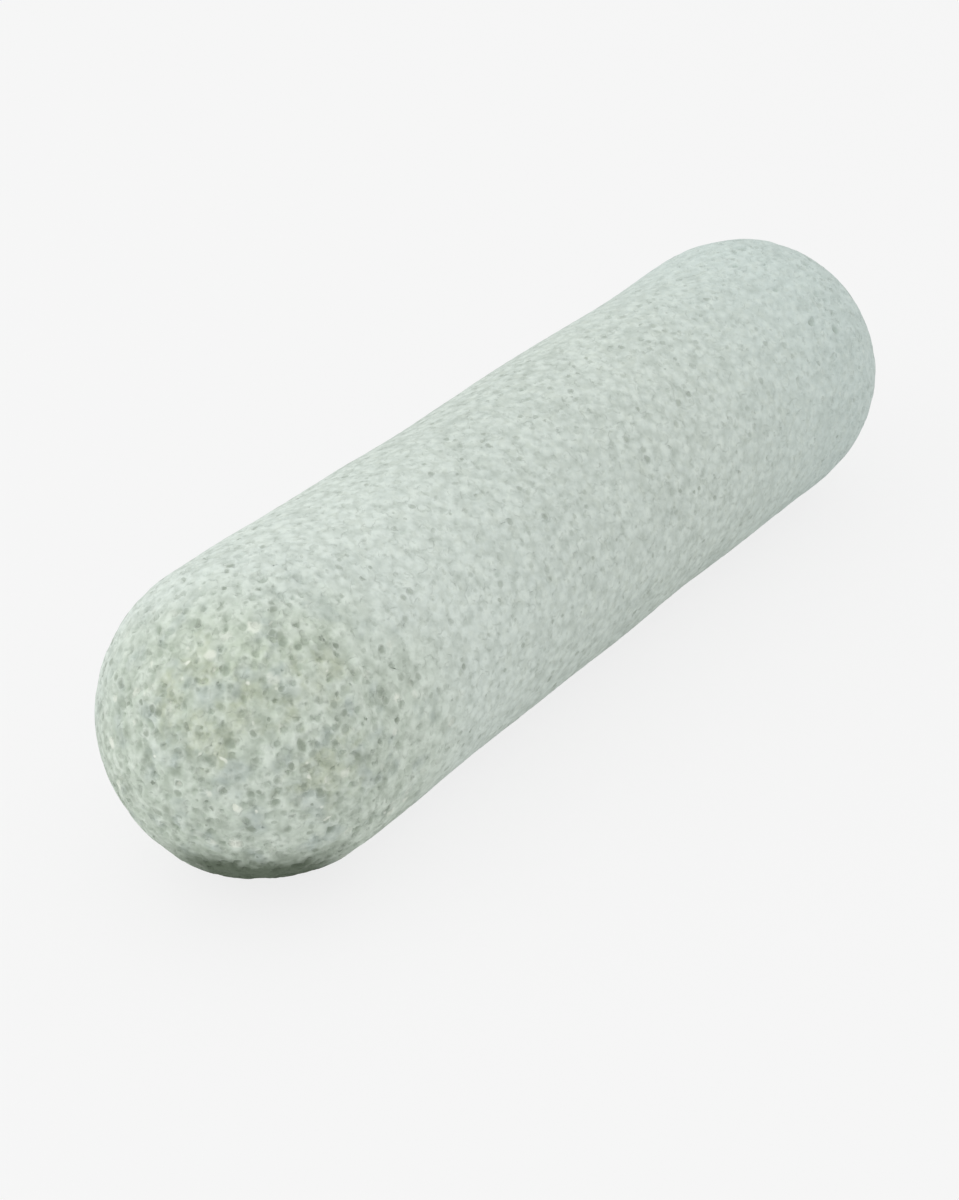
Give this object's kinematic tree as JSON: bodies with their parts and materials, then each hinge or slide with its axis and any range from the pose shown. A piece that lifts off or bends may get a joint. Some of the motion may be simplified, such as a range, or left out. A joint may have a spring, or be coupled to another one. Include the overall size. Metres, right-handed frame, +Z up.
{
  "type": "pumice stone",
  "caption": "Solid round bar of pale grey-green stone foam with domed ends and open bubbles, for rubbing hard skin, lying on a worn flat.",
  "frame": {"origin": "on the worn flat that the stone lies on, under the middle of the bar", "axes": "+X along the bar, away from the end nearest the camera; +Z up; +Y completes the right-handed frame"},
  "size_m": [0.1081, 0.0303, 0.0294],
  "materials": {
    "stone_foam": "matt rubbed foam, pale grey-green with faint ochre stains, darker in the open bubbles and with small glints on their walls"
  },
  "bodies": {
    "root": {"pumice_stone": "stone_foam"}
  },
  "joints": []
}
